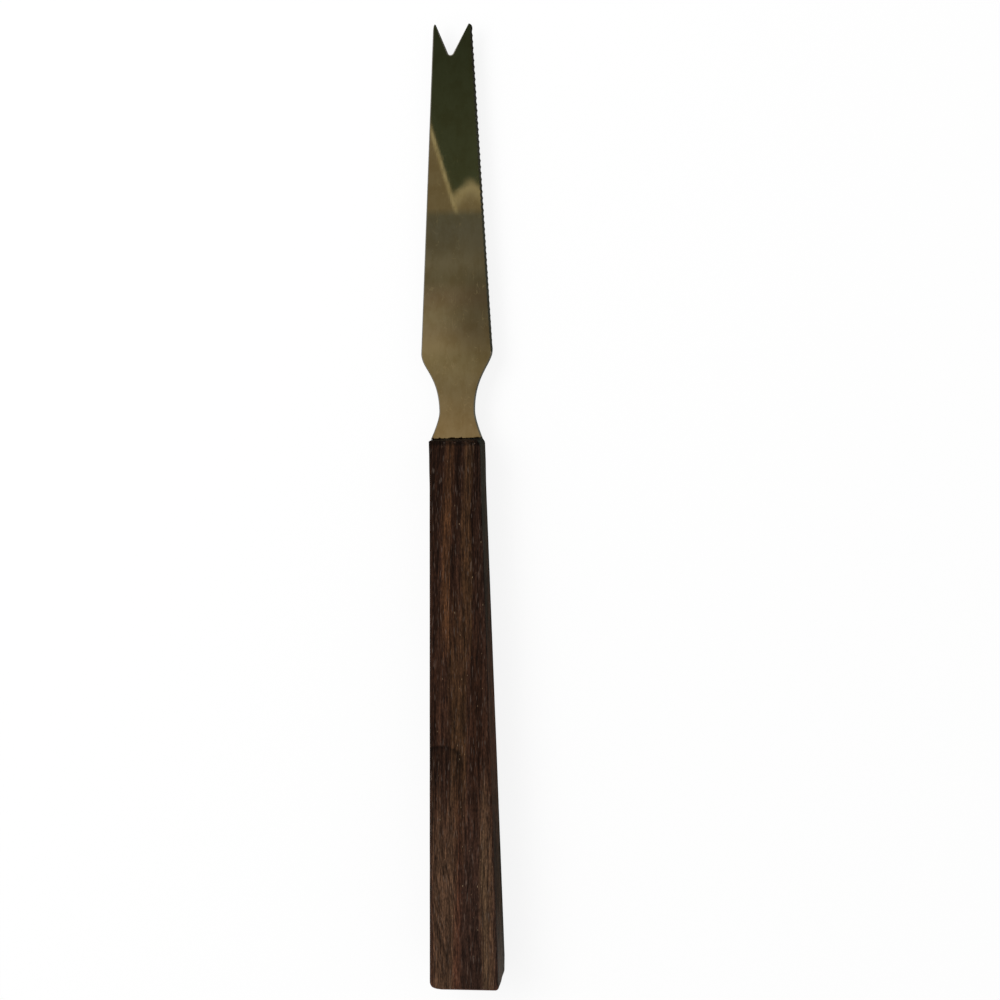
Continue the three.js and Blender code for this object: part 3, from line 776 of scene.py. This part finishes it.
def makeBlade(material):
    sizes = bladeSizes
    start, end, teeth = toothedEdge()
    along = (end - start).normalized()
    holeStep = Vector((0, -sizes["tang"][0] / (sizes["tangHoles"][1] + 1), 0))
    values = {
        "Teeth": teeth,
        "First Worn": teeth // 2,
        "Depth": sizes["toothDepth"][0],
        "Worn Depth": sizes["toothDepth"][1],
        "Flute Share": sizes["fluteShare"],
        "Least Share": sizes["toothLeast"],
        "Inward": Vector((along.y, -along.x, 0)),
        "Seed": sizes["toothSeed"],
        "Hole Radius": sizes["tangHoles"][0] / 2,
        "Holes": sizes["tangHoles"][1],
        "First Hole": holeStep,
        "Hole Step": holeStep,
        "Material": material,
    }
    mesh = runTree(bladeMesh(), serrationTree(values), values)
    print("teeth", teeth)
    return placePiece("stainlessBlade", mesh, material, "blade", 35)


adhesiveSizes = {
    "depth": 45.0,
    "clearance": 0.02,  # to the mortise and to the tang
    "recess": 0.12,  # how far the set face lies below the handle's end
    "creep": 0.1,  # how far it climbs at the walls
    "unevenness": (0.06, 1.4),  # its height, and its cycles in a millimetre
    "steps": (20, 24, 6),  # along a flat side, round an end, and from the tang to the wall
}


# A cup that fills the mortise around the tang, its mouth uneven as it set
def makeBed(material):
    sizes = adhesiveSizes
    clearance = sizes["clearance"]
    flatSteps, roundSteps, wallSteps = sizes["steps"]
    width, thickness = (size - 2 * clearance for size in handleSizes["mortise"][:2])
    tangLength, tangWidth = bladeSizes["tang"][:2]
    halfWidth = tangWidth / 2 + clearance
    halfThickness = bladeSizes["thickness"] / 2 + clearance
    radius = thickness / 2
    core = width / 2 - radius
    outer = []
    for side in (1, -1):
        outer += [(side * (core - 2 * core * i / flatSteps), side * radius) for i in range(flatSteps)]
        for i in range(roundSteps):
            turn = math.pi / 2 + math.pi * i / roundSteps
            outer.append((side * (radius * math.cos(turn) - core), side * radius * math.sin(turn)))
    inner = []
    for x, z in outer:
        inner.append((min(max(x, -halfWidth), halfWidth), min(max(z, -halfThickness), halfThickness)))
    mesh = bmesh.new()
    rings = [[mesh.verts.new((x, -tangLength - clearance, z)) for x, z in inner]]
    high, often = sizes["unevenness"]
    for k in range(wallSteps + 1):
        share = k / wallSteps
        ring = []
        for (x0, z0), (x1, z1) in zip(inner, outer):
            x = x0 + (x1 - x0) * share
            z = z0 + (z1 - z0) * share
            face = footPoint(x).y - bladeSizes["seat"] - sizes["recess"]
            face += sizes["creep"] * (2 * share - 1) ** 2
            face += high * noise.noise(Vector((x, z, 3.0)) * often)
            ring.append(mesh.verts.new((x, face, z)))
        rings.append(ring)
    rings.append([mesh.verts.new((x, -sizes["depth"], z)) for x, z in outer])
    for ring, following in zip(rings, rings[1:]):
        for i in range(len(outer)):
            mesh.faces.new((ring[i - 1], ring[i], following[i], following[i - 1]))
    mesh.faces.new(rings[0])
    mesh.faces.new(rings[-1])
    bmesh.ops.remove_doubles(mesh, verts=mesh.verts, dist=1e-4)
    bmesh.ops.recalc_face_normals(mesh, faces=mesh.faces)
    result = bpy.data.meshes.new("bed")
    mesh.to_mesh(result)
    mesh.free()
    return placePiece("epoxyBed", result, material, "tang_adhesive", 50)


# Stage: white floor, soft light, and cards that only reflections see, for the polished blade to mirror
stageLook = {
    "floor": "#fafafa",
    "floorReach": 4.0,
    "floorGlow": 0.86,  # share of the floor that shows plain white
    "room": 0.62,
    "keyPower": 6.9,
    "keyPlace": (-0.55, 0.35, 0.85),
    "keySize": (0.9, 0.6),
}

# Places and sizes of the cards in millimetres; a row of colours runs along the knife, from -Y to +Y
cardLook = {
    "wallPlace": (2500, 650),  # its reach each way and its height
    "wall": [
        (-200, "#9e8a65"), (-8, "#9e8a65"), (9, "#8c7d5c"), (14, "#918362"), (26, "#968863"), (33, "#9e8e6a"),
        (41, "#938465"), (49, "#8b8062"), (59, "#7d6e55"), (68, "#6d654c"), (77, "#766e56"), (87, "#6c6651"),
        (96, "#6c6855"), (105, "#67634d"), (300, "#67604b"),
    ],
    "wallSides": [(-115, 1.15), (-70, 0.9)],  # brighter to the left
    "wallBlotch": (28.0, 0.88, 1.12),  # cycles in a metre, and gains
    "shadow": ((-70, 46, 650), 10, 33, 0.6),  # dark patch: its middle, where it is full and gone, its gain
    # what the photo's view mirrors: its middle, its squeeze, and where it starts to fade and is gone
    "pictured": ((-91, 48, 650), (1.2, 1.0, 1.0), 90, 240),
    "wallGrey": [(400, "#aaa8a2"), (1800, "#dcdad4")],  # around that, and far off
    "wallLightPatches": (4.0, 0.55, 1.15),  # brighter and darker patches in that grey, painted reflections of studio lights: cycles in a metre, and gains
    "wallDark": (20, 160, 700, 1100, 0.3),  # dark to the right: starts, is full, ends, is gone, and its gain
    "nearHeight": 150,
    "nearRows": ((80.0, 0), (82.4, 1), (143, 1), (160, 0)),  # along Y, each with how solid the card is there
    "nearColumns": ((-46, 0), (-34, 1), (-7, 1), (3, 0)),  # and along X
    "tan": "#807251",
    "panel": [(86, "#4c5138"), (140, "#353b28")],
    "rim": "#b3a578",
    # a point on each border of the near card's picture, and the way out of the dark panel
    "slant": ((-20.5, 85.8, 150.0), (-0.9593, -0.2827, 0.0)),
    "humpLeft": ((-19.6, 87.2, 150.0), (0.698, -0.716, 0.0)),
    "humpRight": ((-15.7, 91.6, 150.0), (-0.6, -0.8, 0.0)),
    "flag": "#28291c",
    "flagPlace": (260, 500),  # away from the knife, and its reach along it
    "flagRows": ((0, 1), (45, 1), (130, 0)),  # heights, each with how solid the flag is there
    "lowFlag": [
        (-500, "#c0c1b9"), (-125, "#c0c1b9"), (-102, "#585e56"), (-20, "#585e56"), (5, "#7c8274"),
        (20, "#7c8274"), (26, "#3f423a"), (85, "#3f423a"), (112, "#24261f"), (500, "#24261f"),
    ],
}


# 1 for the rays that show a surface, 0 for those that only light with it
def seenRays(add):
    rays = add("ShaderNodeLightPath").outputs
    seen = add("ShaderNodeMath", {0: rays["Is Camera Ray"], 1: rays["Is Glossy Ray"]}, operation="MAXIMUM")
    return add("ShaderNodeMath", {0: seen, 1: rays["Is Transmission Ray"]}, operation="MAXIMUM")


def makeStage():
    look = stageLook
    reach = look["floorReach"]
    mesh = bpy.data.meshes.new("floor")
    corners = [(x * reach, y * reach, -0.0001) for x, y in ((-1, -1), (1, -1), (1, 1), (-1, 1))]
    mesh.from_pydata(corners, [], [(0, 1, 2, 3)])
    floor = bpy.data.objects.new("floor", mesh)
    bpy.context.scene.collection.objects.link(floor)
    material, add = newMaterial("paleFloor")
    matt = add("ShaderNodeBsdfDiffuse", {"Color": linear(look["floor"])})
    glow = add("ShaderNodeEmission", {"Color": linear("#ffffff"), "Strength": 1.0})
    share = add("ShaderNodeMath", {0: seenRays(add), 1: look["floorGlow"]}, operation="MULTIPLY")
    mixed = add("ShaderNodeMixShader", {0: share, 1: matt, 2: glow})
    add("ShaderNodeOutputMaterial", {"Surface": mixed})
    mesh.materials.append(material)

    world = bpy.data.worlds.new("studio")
    bpy.context.scene.world = world
    world.use_nodes = True
    world.node_tree.nodes.clear()
    add = partial(addNode, world.node_tree)
    strength = add("ShaderNodeMapRange", {0: seenRays(add), 3: look["room"], 4: 1.0})
    room = add("ShaderNodeBackground", {"Color": linear("#ffffff"), "Strength": strength})
    add("ShaderNodeOutputWorld", {"Surface": room})

    lamp = bpy.data.lights.new("softbox", "AREA")
    lamp.shape = "RECTANGLE"
    lamp.size, lamp.size_y = look["keySize"]
    lamp.energy = look["keyPower"]
    softbox = bpy.data.objects.new("softbox", lamp)
    softbox.location = look["keyPlace"]
    softbox.rotation_euler = (-Vector(look["keyPlace"])).to_track_quat("-Z", "Y").to_euler()
    softbox.visible_glossy = False  # a highlight from it would grey the dark wood
    bpy.context.scene.collection.objects.link(softbox)


# A flat card from corners in millimetres, each with how solid the card is there
def makeCard(name, corners, faces, colour):
    mesh = bpy.data.meshes.new(name)
    mesh.from_pydata([Vector(corner[:3]) * mm for corner in corners], [], faces)
    solid = mesh.attributes.new("solid", "FLOAT", "POINT")
    solid.data.foreach_set("value", [corner[3] for corner in corners])
    card = bpy.data.objects.new(name, mesh)
    bpy.context.scene.collection.objects.link(card)
    material, add = newMaterial(name)
    colour = linear(colour) if isinstance(colour, str) else colour(add)
    glow = add("ShaderNodeEmission", {"Color": colour, "Strength": 1.0})
    solidity = add("ShaderNodeAttribute", attribute_name="solid").outputs["Fac"]
    clear = add("ShaderNodeBsdfTransparent")
    mixed = add("ShaderNodeMixShader", {0: solidity, 1: clear, 2: glow})
    add("ShaderNodeOutputMaterial", {"Surface": mixed})
    mesh.materials.append(material)
    card.visible_camera = False
    card.visible_diffuse = False
    card.visible_transmission = False
    card.visible_shadow = False


# A ramp over a card's place in millimetres along the knife
def rampAlong(add, stops):
    split = add("ShaderNodeSeparateXYZ", {0: add("ShaderNodeTexCoord").outputs["Object"]})
    first, last = stops[0][0], stops[-1][0]
    share = add("ShaderNodeMapRange", {0: split.outputs["Y"], 1: first * mm, 2: last * mm})
    shares = [((place - first) / (last - first), colour) for place, colour in stops]
    return add("ShaderNodeValToRGB", {0: share}, stops=shares)


def wallColour(add):
    look = cardLook
    picture = rampAlong(add, look["wall"])
    coords = add("ShaderNodeTexCoord").outputs["Object"]
    side = add("ShaderNodeSeparateXYZ", {0: coords}).outputs["X"]
    (left, leftGain), (right, rightGain) = look["wallSides"]
    gain = add("ShaderNodeMapRange", {0: side, 1: left * mm, 2: right * mm, 3: leftGain, 4: rightGain})
    clouds = []
    for often, low, high, detail in ((*look["wallBlotch"], 3.0), (*look["wallLightPatches"], 0.0)):
        cloud = add("ShaderNodeTexNoise", {"Vector": coords, "Scale": often, "Detail": detail})
        clouds.append(add("ShaderNodeMapRange", {0: cloud, 1: 0.3, 2: 0.7, 3: low, 4: high}))
    blotch, lightPatches = clouds
    middle, full, gone, dark = look["shadow"]
    shadow = add("ShaderNodeVectorMath", {0: coords, 1: Vector(middle) * mm}, operation="DISTANCE")
    shadow = add("ShaderNodeMapRange", {
        0: shadow.outputs["Value"], 1: full * mm, 2: gone * mm, 3: dark, 4: 1.0,
    }, interpolation_type="SMOOTHSTEP")
    for more in (blotch, shadow):
        gain = add("ShaderNodeMath", {0: gain, 1: more}, operation="MULTIPLY")

    # around the picture the wall is a grey studio
    middle, squeeze, begin, gone = look["pictured"]
    away = add("ShaderNodeVectorMath", {0: coords, 1: Vector(middle) * mm}, operation="SUBTRACT")
    away = add("ShaderNodeVectorMath", {0: away, 1: squeeze}, operation="MULTIPLY")
    away = add("ShaderNodeVectorMath", {0: away}, operation="LENGTH").outputs["Value"]
    outside = add("ShaderNodeMapRange", {
        0: away, 1: begin * mm, 2: gone * mm,
    }, interpolation_type="SMOOTHSTEP")
    (near, nearGrey), (far, farGrey) = look["wallGrey"]
    share = add("ShaderNodeMapRange", {0: away, 1: near * mm, 2: far * mm})
    grey = add("ShaderNodeMix", {0: share, 6: linear(nearGrey), 7: linear(farGrey)}, data_type="RGBA")

    start, full, ending, gone, dark = look["wallDark"]
    falling = add("ShaderNodeMapRange", {0: side, 1: start * mm, 2: full * mm, 3: 1.0, 4: dark})
    rising = add("ShaderNodeMapRange", {0: side, 1: ending * mm, 2: gone * mm, 3: dark, 4: 1.0})
    dimmed = add("ShaderNodeMath", {0: falling, 1: rising}, operation="MAXIMUM")
    gained = {"data_type": "RGBA", "blend_type": "MULTIPLY"}
    picture = add("ShaderNodeMix", {0: 1.0, 6: picture, 7: gain}, **gained).outputs[2]
    grey = add("ShaderNodeMix", {0: 1.0, 6: grey.outputs[2], 7: lightPatches}, **gained).outputs[2]
    wall = add("ShaderNodeMix", {0: outside, 6: picture, 7: grey}, data_type="RGBA").outputs[2]
    return add("ShaderNodeMix", {0: 1.0, 6: wall, 7: dimmed}, **gained).outputs[2]


# The near card's picture: a dark panel with a sharp slanting side over a soft pale hump, and a bright rim
def nearColour(add):
    look = cardLook
    smooth = {"interpolation_type": "SMOOTHSTEP"}
    coords = add("ShaderNodeTexCoord").outputs["Object"]
    cloud = add("ShaderNodeTexNoise", {"Vector": coords, "Scale": 160.0, "Detail": 3.0})
    cloud = add("ShaderNodeMapRange", {0: cloud, 1: 0.3, 2: 0.7, 3: -0.8 * mm, 4: 0.8 * mm})
    off = []
    for point, normal in (look["slant"], look["humpLeft"], look["humpRight"]):
        away = add("ShaderNodeVectorMath", {0: coords, 1: Vector(point) * mm}, operation="SUBTRACT")
        away = add("ShaderNodeVectorMath", {0: away, 1: normal}, operation="DOT_PRODUCT")
        off.append(away.outputs["Value"])
    slant, humpLeft, humpRight = off
    hump = add("ShaderNodeMath", {0: humpLeft, 1: humpRight, 2: 6.0 * mm}, operation="SMOOTH_MIN")
    hump = add("ShaderNodeMath", {0: hump, 1: cloud}, operation="ADD")
    inSlant = add("ShaderNodeMapRange", {0: slant, 1: -0.2 * mm, 2: 0.2 * mm, 3: 1.0, 4: 0.0})
    overHump = add("ShaderNodeMapRange", {0: hump, 1: -1.4 * mm, 2: 1.2 * mm, 3: 1.0, 4: 0.0}, **smooth)
    inside = add("ShaderNodeMath", {0: inSlant, 1: overHump}, operation="MULTIPLY")
    slantRim = add("ShaderNodeMath", {0: slant, 1: 0.5 * mm}, operation="SUBTRACT")
    slantRim = add("ShaderNodeMath", {0: slantRim}, operation="ABSOLUTE")
    slantRim = add("ShaderNodeMapRange", {0: slantRim, 1: 0.3 * mm, 2: 0.9 * mm, 3: 1.0, 4: 0.0}, **smooth)
    humpRim = add("ShaderNodeMapRange", {0: hump, 1: 1.0 * mm, 2: 5.0 * mm, 3: 0.75, 4: 0.1}, **smooth)
    humpRim = add("ShaderNodeMath", {0: humpRim, 1: inSlant}, operation="MULTIPLY")
    rim = add("ShaderNodeMath", {0: slantRim, 1: humpRim}, operation="MAXIMUM")
    around = add("ShaderNodeMix", {0: rim, 6: linear(look["tan"]), 7: linear(look["rim"])}, data_type="RGBA")
    panel = rampAlong(add, look["panel"])
    return add("ShaderNodeMix", {0: inside, 6: around.outputs[2], 7: panel}, data_type="RGBA").outputs[2]


def makeCards():
    look = cardLook
    square = ((-1, -1), (1, -1), (1, 1), (-1, 1))
    reach, height = look["wallPlace"]
    makeCard("wallCard", [(x * reach, y * reach, height, 1) for x, y in square], [(0, 1, 2, 3)], wallColour)
    # the near card fades out round the part that the photo's view mirrors
    corners = []
    for y, atY in look["nearRows"]:
        corners += [(x, y, look["nearHeight"], atX * atY) for x, atX in look["nearColumns"]]
    faces = [(i, i + 1, i + 5, i + 4) for i in (0, 1, 2, 4, 5, 6, 8, 9, 10)]
    makeCard("nearCard", corners, faces, nearColour)
    # dark flags beside the knife for its ground edge and eased rims, and one below for the flanks
    away, reach = look["flagPlace"]
    for name, x in (("edgeFlag", away), ("spineFlag", -away)):
        corners = [(x, y, z, solid) for z, solid in look["flagRows"] for y in (-reach, reach)]
        makeCard(name, corners, [(0, 1, 3, 2), (2, 3, 5, 4)], look["flag"])
    corners = [(x * away, y * reach, -0.05, 1) for x, y in square]
    makeCard("lowFlag", corners, [(0, 1, 2, 3)], lambda add: rampAlong(add, look["lowFlag"]))


cameraLook = {
    "place": (78.8267, 67.2921, 560.0),
    "aim": (10.4464, 3.4447, 8.0),
    "roll": -1.153,
    "lens": 81.32,
    "sensor": 36.0,
}


def makeCamera():
    look = cameraLook
    data = bpy.data.cameras.new("camera")
    data.lens = look["lens"]
    data.sensor_width = look["sensor"]
    camera = bpy.data.objects.new("camera", data)
    place = Vector(look["place"])
    back = (place - Vector(look["aim"])).normalized()
    right = Vector((0, 1, 0)).cross(back).normalized()
    up = back.cross(right)
    turn = Matrix((right, up, back)).transposed() @ Matrix.Rotation(math.radians(look["roll"]), 3, "Z")
    camera.matrix_world = Matrix.Translation(place * mm) @ turn.to_4x4()
    bpy.context.scene.collection.objects.link(camera)
    bpy.context.scene.camera = camera


makeCamera()
makeStage()
makeCards()
print("stage set")
makeHandle(makeRosewood())
makeBlade(makeStainless())
makeBed(makeAdhesive())
bpy.context.scene.view_settings.view_transform = "Standard"
